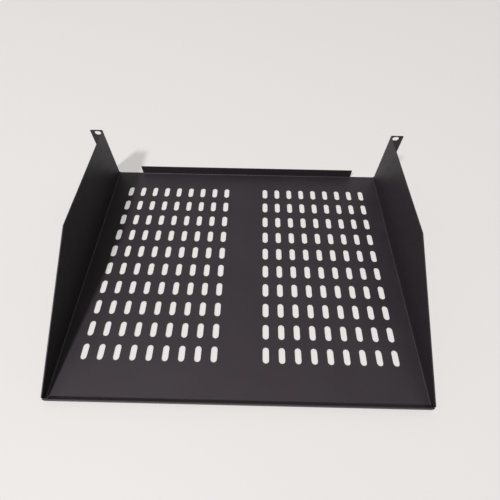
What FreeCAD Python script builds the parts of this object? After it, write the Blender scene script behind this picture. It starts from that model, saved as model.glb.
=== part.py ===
import FreeCAD, Part
import math
import os

# Vented cantilever rack shelf, folded from one steel sheet. Sizes in millimetres.
#
# Frame: +Z up. The origin lies on the deck's underside, under the middle of the shelf.
# +X runs across the rack. -Y is the front, where the ears meet the rack's rails, and
# +Y is the low free end inside the rack.
#
# The blank is one outline: a deck, a wall along each side, an ear at the front of each
# wall, a short lip between the ears and a low lip across the free end. Every fold is
# the same bend, so the one function fold() makes them all.

# ---- sheet and folds -------------------------------------------------------------

SHEET = 1.2
BEND_INSIDE_RADIUS = 1.5

# ---- the rack it fits ------------------------------------------------------------

RACK_UNIT = 44.45
RACK_UNITS_HIGH = 2
HEIGHT_CLEARANCE = 0.8
OUTER_HOLE_TO_UNIT_EDGE = 6.35
EAR_TO_EAR_WIDTH = 482.6

# ---- mounting ears ---------------------------------------------------------------

EAR_WIDTH = 18.8
EAR_CORNER_RADIUS = 1.0
EAR_SLOT_LENGTH = 10.0
EAR_SLOT_WIDTH = 6.8
EAR_SLOT_FROM_TIP = 10.8
EAR_SLOT_BELOW_TOP = 5.0

# ---- tray ------------------------------------------------------------------------

SHELF_DEPTH = 373.0
WALL_LEVEL_LENGTH = 187.0
FRONT_LIP_HEIGHT = 16.0
FRONT_LIP_INSET = 42.0
LOW_LIP_HEIGHT = 9.5
LOW_CORNER_GAP = 0.8
WALL_END_RADIUS = 2.5

# ---- reliefs at the ends of the folds --------------------------------------------

RELIEF_WIDTH = 0.6
RELIEF_PAST_BEND = 0.4

# ---- vent slots: their size, the metal between them and the plain metal around ----

VENT_WIDTH = 8.0
VENT_LENGTH = 20.0
VENT_END_FACETS = 6
VENT_COLUMN_GAP = 12.0
VENT_ROW_GAP = 10.0
VENT_SPINE_WIDTH = 56.0
VENT_LEAST_SIDE_MARGIN = 20.0
VENT_FRONT_MARGIN = 35.0
VENT_LEAST_BACK_MARGIN = 40.0

# ---- sizes that follow -----------------------------------------------------------

BEND_REACH = BEND_INSIDE_RADIUS + SHEET
FRONT_Y = -SHELF_DEPTH / 2
BACK_Y = SHELF_DEPTH / 2
FRONT_BEND_Y = FRONT_Y + BEND_REACH
BACK_BEND_Y = BACK_Y - BEND_REACH

WALL_HEIGHT = RACK_UNITS_HIGH * RACK_UNIT - HEIGHT_CLEARANCE
WALL_OUTSIDE_X = EAR_TO_EAR_WIDTH / 2 - EAR_WIDTH
WALL_INSIDE_X = WALL_OUTSIDE_X - SHEET
WALL_SHOULDER_Y = FRONT_Y + WALL_LEVEL_LENGTH
WALL_BACK_Y = BACK_Y - SHEET - LOW_CORNER_GAP
DECK_FLAT_X = WALL_OUTSIDE_X - BEND_REACH
FRONT_LIP_X = WALL_OUTSIDE_X - FRONT_LIP_INSET
LOW_LIP_X = WALL_INSIDE_X - LOW_CORNER_GAP

EAR_TIP_X = EAR_TO_EAR_WIDTH / 2
EAR_FLAT_X = WALL_INSIDE_X + BEND_REACH
EAR_BEND_BOTTOM_Z = BEND_REACH + RELIEF_WIDTH
EAR_SLOT_X = EAR_TIP_X - EAR_SLOT_FROM_TIP
EAR_SLOT_TOP_Z = WALL_HEIGHT - EAR_SLOT_BELOW_TOP
EAR_SLOT_SPACING = RACK_UNITS_HIGH * RACK_UNIT - 2 * OUTER_HOLE_TO_UNIT_EDGE

VENT_COLUMN_PITCH = VENT_WIDTH + VENT_COLUMN_GAP
VENT_ROW_PITCH = VENT_LENGTH + VENT_ROW_GAP
VENT_FIRST_X = (VENT_SPINE_WIDTH + VENT_WIDTH) / 2
VENT_FIRST_Y = FRONT_Y + VENT_FRONT_MARGIN + VENT_LENGTH / 2
VENT_LAST_X = WALL_OUTSIDE_X - VENT_LEAST_SIDE_MARGIN - VENT_WIDTH / 2
VENT_LAST_Y = BACK_Y - VENT_LEAST_BACK_MARGIN - VENT_LENGTH / 2
VENT_COLUMNS_EACH_SIDE = math.floor((VENT_LAST_X - VENT_FIRST_X) / VENT_COLUMN_PITCH) + 1
VENT_ROWS = math.floor((VENT_LAST_Y - VENT_FIRST_Y) / VENT_ROW_PITCH) + 1

ACROSS = FreeCAD.Vector(1, 0, 0)
FORWARD = FreeCAD.Vector(0, -1, 0)
BACKWARD = FreeCAD.Vector(0, 1, 0)
UP = FreeCAD.Vector(0, 0, 1)


def outline(corners):
    """A closed straight-sided wire through the corners."""
    points = [FreeCAD.Vector(*corner) for corner in corners]
    return Part.makePolygon(points + points[:1])


def mirrored_outline(right_half):
    """The closed wire through the corners of the right half and their mirror images."""
    left_half = [(-x, y, z) for x, y, z in reversed(right_half)]
    return outline(right_half + left_half)


def fold(bend_line_start, along, outward, upward, height):
    """One bend and the flange beyond it.

    The bend line starts at bend_line_start and runs by the vector `along`. The sheet
    comes to it flat, one thickness deep towards `upward`, and travelling `outward`. It
    turns through a right angle to run `upward`, and the flange ends at `height` above
    the flat's lower face.
    """
    def point(out, up):
        return bend_line_start + outward * out + upward * up

    inner = BEND_INSIDE_RADIUS
    outer = BEND_REACH
    half_turn = math.sqrt(0.5)
    outer_middle = point(outer * half_turn, outer - outer * half_turn)
    inner_middle = point(inner * half_turn, outer - inner * half_turn)
    profile = Part.Wire([
        Part.Arc(point(0, 0), outer_middle, point(outer, outer)).toShape(),
        Part.LineSegment(point(outer, outer), point(outer, height)).toShape(),
        Part.LineSegment(point(outer, height), point(inner, height)).toShape(),
        Part.LineSegment(point(inner, height), point(inner, outer)).toShape(),
        Part.Arc(point(inner, outer), inner_middle, point(0, SHEET)).toShape(),
        Part.LineSegment(point(0, SHEET), point(0, 0)).toShape(),
    ])
    return Part.Face(profile).extrude(along)


def vent(x, y):
    """The outline of one vent slot, each round end drawn in a few straight facets."""
    radius = VENT_WIDTH / 2
    to_end = VENT_LENGTH / 2 - radius
    corners = []
    for end in (1, -1):
        for step in range(VENT_END_FACETS + 1):
            angle = math.pi * step / VENT_END_FACETS
            corner_x = x + end * radius * math.cos(angle)
            corner_y = y + end * (to_end + radius * math.sin(angle))
            corners.append((corner_x, corner_y, 0))
    return outline(corners)


def vents():
    """The outlines of both fields of vents, either side of the plain spine."""
    slots = []
    for row in range(VENT_ROWS):
        y = VENT_FIRST_Y + row * VENT_ROW_PITCH
        for column in range(VENT_COLUMNS_EACH_SIDE):
            x = VENT_FIRST_X + column * VENT_COLUMN_PITCH
            slots += [vent(x, y), vent(-x, y)]
    return slots


def deck():
    """The flat floor with its vents, its front corners flush with the ears.

    A narrow relief at each end of the front lip runs a little past the bend.
    """
    relief_x = FRONT_LIP_X + RELIEF_WIDTH
    relief_y = FRONT_BEND_Y + RELIEF_PAST_BEND
    rim = mirrored_outline([
        (FRONT_LIP_X, FRONT_BEND_Y, 0),
        (FRONT_LIP_X, relief_y, 0),
        (relief_x, relief_y, 0),
        (relief_x, FRONT_Y, 0),
        (DECK_FLAT_X, FRONT_Y, 0),
        (DECK_FLAT_X, BACK_BEND_Y, 0),
    ])
    return Part.makeFace([rim] + vents(), "Part::FaceMakerBullseye").extrude(UP * SHEET)


def front_lip():
    """The upturned lip between the ears, stopping short of both walls."""
    line_start = FreeCAD.Vector(-FRONT_LIP_X, FRONT_BEND_Y, 0)
    return fold(line_start, ACROSS * (2 * FRONT_LIP_X), FORWARD, UP, FRONT_LIP_HEIGHT)


def low_lip():
    """The upturned lip across the free end.

    Its bend is as wide as the flat of the deck, and above the bend it reaches out to
    the walls, so that the corners look closed.
    """
    line_start = FreeCAD.Vector(-LOW_LIP_X, BACK_BEND_Y, 0)
    strip = fold(line_start, ACROSS * (2 * LOW_LIP_X), BACKWARD, UP, LOW_LIP_HEIGHT)
    rear_view = mirrored_outline([
        (DECK_FLAT_X, BACK_BEND_Y, 0),
        (DECK_FLAT_X, BACK_BEND_Y, BEND_REACH),
        (LOW_LIP_X, BACK_BEND_Y, BEND_REACH),
        (LOW_LIP_X, BACK_BEND_Y, LOW_LIP_HEIGHT),
    ])
    return strip.common(Part.Face(rear_view).extrude(BACKWARD * BEND_REACH))


def is_wall_end_corner(edge):
    """True for the short edge through the sheet at the low end of a wall's top edge."""
    middle = edge.BoundBox.Center
    at_end = math.isclose(middle.y, WALL_BACK_Y) and math.isclose(middle.z, LOW_LIP_HEIGHT)
    return at_end and math.isclose(edge.Length, SHEET)


def side_wall(side):
    """One wall: level behind its ear, then sloping straight down to the low lip.

    At the front its own bend runs on to the deck's edge, and the ear's bend takes the
    wall's place above that, past a narrow relief. At the back its bend stops where the
    low lip's bend starts, and the wall alone goes on to close the corner.
    """
    line_start = FreeCAD.Vector(side * DECK_FLAT_X, FRONT_Y, 0)
    along = BACKWARD * (WALL_BACK_Y - FRONT_Y)
    strip = fold(line_start, along, ACROSS * side, UP, WALL_HEIGHT)
    relief_y = FRONT_BEND_Y + RELIEF_PAST_BEND
    side_view = [
        (FRONT_Y, 0),
        (BACK_BEND_Y, 0),
        (BACK_BEND_Y, BEND_REACH),
        (WALL_BACK_Y, BEND_REACH),
        (WALL_BACK_Y, LOW_LIP_HEIGHT),
        (WALL_SHOULDER_Y, WALL_HEIGHT),
        (FRONT_BEND_Y, WALL_HEIGHT),
        (FRONT_BEND_Y, EAR_BEND_BOTTOM_Z),
        (relief_y, EAR_BEND_BOTTOM_Z),
        (relief_y, BEND_REACH),
        (FRONT_Y, BEND_REACH),
    ]
    rim = outline([(-WALL_OUTSIDE_X, y, z) for y, z in side_view])
    wall = strip.common(Part.Face(rim).extrude(ACROSS * (2 * WALL_OUTSIDE_X)))
    corners = [edge for edge in wall.Edges if is_wall_end_corner(edge)]
    return wall.makeFillet(WALL_END_RADIUS, corners)


def is_ear_corner(edge):
    """True for the short edges through the sheet at the two corners of an ear's tip."""
    middle = edge.BoundBox.Center
    at_tip = math.isclose(abs(middle.x), EAR_TIP_X)
    return at_tip and math.isclose(edge.Length, SHEET)


def ear_slot(side, height):
    """The cutter for one mounting slot, with true round ends."""
    radius = EAR_SLOT_WIDTH / 2
    to_end = ACROSS * (EAR_SLOT_LENGTH / 2 - radius)
    to_tip = ACROSS * radius
    to_side = UP * radius
    centre = FreeCAD.Vector(side * EAR_SLOT_X, FRONT_Y, height)
    right, left = centre + to_end, centre - to_end
    rim = Part.Wire([
        Part.LineSegment(left + to_side, right + to_side).toShape(),
        Part.Arc(right + to_side, right + to_tip, right - to_side).toShape(),
        Part.LineSegment(right - to_side, left - to_side).toShape(),
        Part.Arc(left - to_side, left - to_tip, left + to_side).toShape(),
    ])
    return Part.Face(rim).extrude(BACKWARD * SHEET)


def ear(side):
    """One mounting ear, folded out from the front of its wall, with a slot at each end.

    The bend stops above the wall's own bend, and the flat of the ear runs on down past
    it as a free foot, so that the lower slot has metal around it.
    """
    line_start = FreeCAD.Vector(side * WALL_INSIDE_X, FRONT_BEND_Y, EAR_BEND_BOTTOM_Z)
    along = UP * (WALL_HEIGHT - EAR_BEND_BOTTOM_Z)
    flange = fold(line_start, along, FORWARD, ACROSS * side, EAR_TIP_X - WALL_INSIDE_X)
    foot = Part.Face(outline([
        (side * EAR_FLAT_X, FRONT_Y, 0),
        (side * EAR_TIP_X, FRONT_Y, 0),
        (side * EAR_TIP_X, FRONT_Y, EAR_BEND_BOTTOM_Z),
        (side * EAR_FLAT_X, FRONT_Y, EAR_BEND_BOTTOM_Z),
    ]))
    blank = flange.fuse(foot.extrude(BACKWARD * SHEET)).removeSplitter()
    corners = [edge for edge in blank.Edges if is_ear_corner(edge)]
    rounded = blank.makeFillet(EAR_CORNER_RADIUS, corners)
    slots = [ear_slot(side, EAR_SLOT_TOP_Z), ear_slot(side, EAR_SLOT_TOP_Z - EAR_SLOT_SPACING)]
    return rounded.cut(slots)


def shelf():
    """The whole folded sheet as one solid."""
    flanges = [front_lip(), low_lip()]
    for side in (-1, 1):
        flanges += [side_wall(side), ear(side)]
    return deck().fuse(flanges).removeSplitter()


os.makedirs("parts", exist_ok=True)
shelf().exportStep("parts/shelf.step")
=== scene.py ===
import math

import bpy
from mathutils import Matrix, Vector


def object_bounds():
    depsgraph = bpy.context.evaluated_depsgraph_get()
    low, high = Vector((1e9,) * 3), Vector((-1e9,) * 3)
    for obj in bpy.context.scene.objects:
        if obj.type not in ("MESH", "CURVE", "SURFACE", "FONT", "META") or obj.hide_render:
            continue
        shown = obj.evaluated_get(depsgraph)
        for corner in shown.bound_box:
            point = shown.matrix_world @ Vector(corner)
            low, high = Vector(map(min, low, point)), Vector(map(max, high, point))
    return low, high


# Vented cantilever rack shelf: the folded sheet comes from the frame, and this script
# gives it its powder coat, lays it on a pale floor, lights it and places the camera.
# Metres, in the frame of the part: +Z up, the ears at the front (-Y), the low lip at +Y.

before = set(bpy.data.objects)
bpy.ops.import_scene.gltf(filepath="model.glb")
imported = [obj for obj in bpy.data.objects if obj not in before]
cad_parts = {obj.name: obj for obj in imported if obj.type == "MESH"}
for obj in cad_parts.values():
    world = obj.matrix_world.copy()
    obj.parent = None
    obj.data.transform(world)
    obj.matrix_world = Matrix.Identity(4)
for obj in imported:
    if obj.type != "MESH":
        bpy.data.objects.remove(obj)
CAD_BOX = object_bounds()

SHEET_NODE = "shelf"
MILLIMETRE = 0.001


# ---- node helpers -----------------------------------------------------------------


class Shader:
    """The node tree of a material or the world, with short ways to add and join nodes.

    A value is a number, a colour or the output of another node.
    """

    def __init__(self, owner):
        owner.use_nodes = True
        self.tree = owner.node_tree
        self.tree.nodes.clear()

    def add(self, kind, **settings):
        node = self.tree.nodes.new(kind)
        for key, value in settings.items():
            setattr(node, key, value)
        return node

    def plug(self, socket, value):
        """Join the socket to another node's output, or set it to the number or colour."""
        if isinstance(value, bpy.types.NodeSocket):
            self.tree.links.new(value, socket)
        else:
            socket.default_value = value

    def feed(self, node, **inputs):
        """Plug values into the inputs with these names, where _ stands for a space."""
        for name, value in inputs.items():
            self.plug(node.inputs[name.replace("_", " ")], value)

    def maths(self, operation, first, second, clamp=False):
        node = self.add("ShaderNodeMath", operation=operation, use_clamp=clamp)
        for socket, value in zip(node.inputs, (first, second)):
            self.plug(socket, value)
        return node.outputs["Value"]

    def noise(self, coordinates, size, detail, roughness=0.5):
        """Smooth noise from 0 to 1 whose lumps are about `size` metres across."""
        node = self.add("ShaderNodeTexNoise", noise_dimensions="3D")
        self.feed(node, Vector=coordinates, Scale=1 / size, Detail=detail, Roughness=roughness)
        return node.outputs["Fac"]

    def remap(self, value, between, to, ease="LINEAR"):
        """The value's stretch between two limits, moved to two others and held there."""
        node = self.add("ShaderNodeMapRange", clamp=True, interpolation_type=ease)
        self.feed(node, Value=value, From_Min=between[0], From_Max=between[1],
                  To_Min=to[0], To_Max=to[1])
        return node.outputs["Result"]

    def mix(self, amount, first, second, kind="RGBA"):
        """The first value, giving way to the second as the amount goes from 0 to 1."""
        node = self.add("ShaderNodeMix", data_type=kind)
        sockets = [socket for socket in node.inputs if socket.enabled]
        for socket, value in zip(sockets, (amount, first, second)):
            self.plug(socket, value)
        return [socket for socket in node.outputs if socket.enabled][0]

    def blend(self, amount, first, second):
        """The first shader, giving way to the second as the amount goes from 0 to 1."""
        node = self.add("ShaderNodeMixShader")
        for socket, value in zip(node.inputs, (amount, first, second)):
            self.plug(socket, value)
        return node.outputs["Shader"]

    def seen_as_background(self):
        """1 for a ray that shows the background to the eye, straight or by a reflection."""
        path = self.add("ShaderNodeLightPath")
        through = self.maths("MAXIMUM", path.outputs["Is Camera Ray"],
                             path.outputs["Is Transmission Ray"])
        return self.maths("MAXIMUM", through, path.outputs["Is Glossy Ray"])


# ---- the powder coat --------------------------------------------------------------

COAT = (0.0158, 0.0122, 0.0144, 1.0)
COAT_WORN = (0.060, 0.057, 0.059, 1.0)
COAT_DUSTED = (0.046, 0.041, 0.044, 1.0)
COAT_GLINT = (0.92, 0.84, 0.95, 1.0)
COAT_IOR = 1.5
COAT_ROUGHNESS = 0.52

# How far the roughness strays: either way by the wipe marks, and up by the clouds.
WIPE_ROUGHNESS = 0.05
CLOUD_ROUGHNESS = 0.06

GRAIN_SIZE = 0.55 * MILLIMETRE
GRAIN_HEIGHT = 0.020 * MILLIMETRE
PEEL_SIZE = 2.6 * MILLIMETRE
PEEL_HEIGHT = 0.016 * MILLIMETRE
CLOUD_SIZE = 70 * MILLIMETRE
WIPE_SIZE = 15 * MILLIMETRE
FLECK_SIZE = 1.1 * MILLIMETRE

EDGE_WIDTH = 0.35 * MILLIMETRE
EDGE_SAMPLES = 6
LEAST_WEAR = 0.15
MOST_FILM = 0.16
MOST_FLECKS = 0.5

# The limits between which each measure turns into its effect.
NORMALS_PART = (0.99, 0.80)
WIPE_RUBS = (0.42, 0.62)
WIPE_DULLS = (0.30, 0.70)
FACES_UP = (0.6, 1.0)
CLOUD_DUSTS = (0.35, 0.75)
FLECK_SHOWS = (0.74, 0.80)


def coat_bump(shader, place, rounded):
    """The normal over the coat's height: fine pebbles over a slower orange peel."""
    grain = shader.noise(place, GRAIN_SIZE, detail=3.0, roughness=0.6)
    peel = shader.noise(place, PEEL_SIZE, detail=1.5)
    height = shader.maths("ADD", shader.maths("MULTIPLY", grain, GRAIN_HEIGHT),
                          shader.maths("MULTIPLY", peel, PEEL_HEIGHT))
    bump = shader.add("ShaderNodeBump")
    shader.feed(bump, Strength=1.0, Distance=1.0, Height=height, Normal=rounded)
    return bump.outputs["Normal"]


def edge_wear(shader, wipe, rounded, flat):
    """0 to 1: rubbed where a rounded normal parts from the true one, at cuts and folds."""
    agreement = shader.add("ShaderNodeVectorMath", operation="DOT_PRODUCT")
    for socket, normal in zip(agreement.inputs, (rounded, flat)):
        shader.plug(socket, normal)
    edge = shader.remap(agreement.outputs["Value"], NORMALS_PART, (0.0, 1.0))
    rubbed = shader.remap(wipe, WIPE_RUBS, (LEAST_WEAR, 1.0))
    return shader.maths("MULTIPLY", edge, rubbed, clamp=True)


def settled_dust(shader, place, cloud, flat):
    """0 to 1: a faint film on what faces up, thicker in patches, with pale flecks."""
    fleck = shader.noise(place, FLECK_SIZE, detail=1.0)
    facing = shader.add("ShaderNodeSeparateXYZ")
    shader.feed(facing, Vector=flat)
    upward = shader.remap(facing.outputs["Z"], FACES_UP, (0.0, 1.0))
    film = shader.remap(cloud, CLOUD_DUSTS, (0.0, MOST_FILM))
    flecks = shader.remap(fleck, FLECK_SHOWS, (0.0, MOST_FLECKS))
    return shader.maths("MULTIPLY", upward, shader.maths("ADD", film, flecks), clamp=True)


def powder_coat():
    """Matt black powder coat: pebbled, uneven in sheen, thin and paler along cut edges."""
    material = bpy.data.materials.new("powder_coat")
    shader = Shader(material)
    place = shader.add("ShaderNodeTexCoord").outputs["Object"]
    cloud = shader.noise(place, CLOUD_SIZE, detail=4.0, roughness=0.55)
    wipe = shader.noise(place, WIPE_SIZE, detail=6.0, roughness=0.65)

    flat = shader.add("ShaderNodeNewGeometry").outputs["Normal"]
    bevel = shader.add("ShaderNodeBevel", samples=EDGE_SAMPLES)
    shader.feed(bevel, Radius=EDGE_WIDTH)
    rounded = bevel.outputs["Normal"]

    dusty = shader.mix(settled_dust(shader, place, cloud, flat), COAT, COAT_DUSTED)
    colour = shader.mix(edge_wear(shader, wipe, rounded, flat), dusty, COAT_WORN)
    wiped = shader.remap(wipe, WIPE_DULLS, (COAT_ROUGHNESS - WIPE_ROUGHNESS,
                                            COAT_ROUGHNESS + WIPE_ROUGHNESS))
    clouded = shader.maths("MULTIPLY", cloud, CLOUD_ROUGHNESS)

    surface = shader.add("ShaderNodeBsdfPrincipled")
    shader.feed(surface, Base_Color=colour, Roughness=shader.maths("ADD", wiped, clouded),
                Normal=coat_bump(shader, place, rounded), IOR=COAT_IOR,
                Specular_Tint=COAT_GLINT)
    output = shader.add("ShaderNodeOutputMaterial")
    shader.feed(output, Surface=surface.outputs["BSDF"])
    return material


def coat_sheet():
    """Put the one coat into every material slot of the folded sheet."""
    coat = powder_coat()
    for slot in bpy.data.objects[SHEET_NODE].material_slots:
        slot.material = coat


coat_sheet()


# ---- floor ------------------------------------------------------------------------

FLOOR_REACH = 6.0
FLOOR_GAP = 0.1 * MILLIMETRE
FLOOR_COLOUR = (0.765, 0.740, 0.730, 1.0)
FLOOR_SHADE = (0.742, 0.718, 0.708, 1.0)
FLOOR_CLOUD_SIZE = 0.5
FLOOR_ROUGHNESS = 0.55
FLOOR_GLOW = (0.812, 0.786, 0.775, 1.0)
FLOOR_GLOW_SHARE = 0.55


def floor_material():
    """Plain pale floor with the faintest unevenness, seen through from underneath.

    Where it is seen as background, part of its tone is a glow of its own, so that the
    shadows on it stay light.
    """
    material = bpy.data.materials.new("pale_floor")
    shader = Shader(material)
    place = shader.add("ShaderNodeTexCoord").outputs["Object"]
    cloud = shader.noise(place, FLOOR_CLOUD_SIZE, detail=3.0)
    tone = shader.mix(cloud, FLOOR_SHADE, FLOOR_COLOUR)
    surface = shader.add("ShaderNodeBsdfPrincipled")
    shader.feed(surface, Base_Color=tone, Roughness=FLOOR_ROUGHNESS)
    glow = shader.add("ShaderNodeEmission")
    shader.feed(glow, Color=FLOOR_GLOW, Strength=1.0)
    share = shader.maths("MULTIPLY", shader.seen_as_background(), FLOOR_GLOW_SHARE)
    top = shader.blend(share, surface.outputs["BSDF"], glow.outputs["Emission"])
    underneath = shader.add("ShaderNodeBsdfTransparent").outputs["BSDF"]
    backfacing = shader.add("ShaderNodeNewGeometry").outputs["Backfacing"]
    output = shader.add("ShaderNodeOutputMaterial")
    shader.feed(output, Surface=shader.blend(backfacing, top, underneath))
    return material


def make_floor():
    """A wide sheet a hair below the deck's underside."""
    floor_z = CAD_BOX[0][2] - FLOOR_GAP
    corners = [(-1, -1), (1, -1), (1, 1), (-1, 1)]
    mesh = bpy.data.meshes.new("floor")
    mesh.from_pydata([(x * FLOOR_REACH, y * FLOOR_REACH, floor_z) for x, y in corners],
                     [], [(0, 1, 2, 3)])
    floor = bpy.data.objects.new("floor", mesh)
    floor.data.materials.append(floor_material())
    bpy.context.scene.collection.objects.link(floor)


make_floor()


# ---- light ------------------------------------------------------------------------

SKY_NEAR = 0.07
SKY_FAR = 0.56
SKY_BLEND = 0.25
SKY_COLOUR = (1.0, 0.968, 0.945, 1.0)
BACKDROP = 0.64
KEY_POWER = 237.0
KEY_SIZE = 0.55
KEY_DISTANCE = 5.0
KEY_ELEVATION = math.radians(53)
KEY_BEARING = math.radians(53)


def make_world():
    """Soft light from all round, strongest from the ears' side like a lit white wall.

    Where it is seen as background, past the floor's edge, it is plain and pale.
    """
    world = bpy.data.worlds.new("studio")
    shader = Shader(world)
    direction = shader.add("ShaderNodeSeparateXYZ")
    shader.feed(direction, Vector=shader.add("ShaderNodeTexCoord").outputs["Generated"])
    light = shader.remap(direction.outputs["Y"], (SKY_BLEND, -SKY_BLEND),
                         (SKY_NEAR, SKY_FAR), ease="SMOOTHSTEP")
    strength = shader.mix(shader.seen_as_background(), light, BACKDROP, kind="FLOAT")
    background = shader.add("ShaderNodeBackground")
    shader.feed(background, Color=SKY_COLOUR, Strength=strength)
    output = shader.add("ShaderNodeOutputWorld")
    shader.feed(output, Surface=background.outputs["Background"])
    bpy.context.scene.world = world


def make_key():
    """One broad soft lamp, high to the left of the camera."""
    lamp = bpy.data.lights.new("key", "AREA")
    lamp.shape = "DISK"
    lamp.size = KEY_SIZE
    lamp.energy = KEY_POWER
    key = bpy.data.objects.new("key", lamp)
    bpy.context.scene.collection.objects.link(key)
    level = math.cos(KEY_ELEVATION) * KEY_DISTANCE
    key.location = (math.cos(KEY_BEARING) * level, math.sin(KEY_BEARING) * level,
                    math.sin(KEY_ELEVATION) * KEY_DISTANCE)
    key.rotation_euler = key.location.to_track_quat("Z", "Y").to_euler()


make_world()
make_key()


# ---- camera -----------------------------------------------------------------------

CAMERA_PLACE = (-0.0117, 0.2557, 0.4231)
CAMERA_HEADING = math.radians(-179.52)
CAMERA_TILT = math.radians(33.90)
CAMERA_ROLL = math.radians(0.84)
CAMERA_LENS = 24.55
CAMERA_SENSOR = 36.0
CAMERA_NEAREST = 10 * MILLIMETRE


def make_camera():
    """A wide lens above the low lip, looking down into the tray towards the ears."""
    data = bpy.data.cameras.new("camera")
    data.sensor_width = CAMERA_SENSOR
    data.lens = CAMERA_LENS
    data.clip_start = CAMERA_NEAREST
    camera = bpy.data.objects.new("camera", data)
    bpy.context.scene.collection.objects.link(camera)
    turn = Matrix.Rotation(CAMERA_HEADING, 4, "Z") @ Matrix.Rotation(CAMERA_TILT, 4, "X")
    camera.matrix_world = (Matrix.Translation(CAMERA_PLACE) @ turn
                           @ Matrix.Rotation(CAMERA_ROLL, 4, "Z"))
    bpy.context.scene.camera = camera


make_camera()
bpy.context.scene.view_settings.view_transform = "Standard"
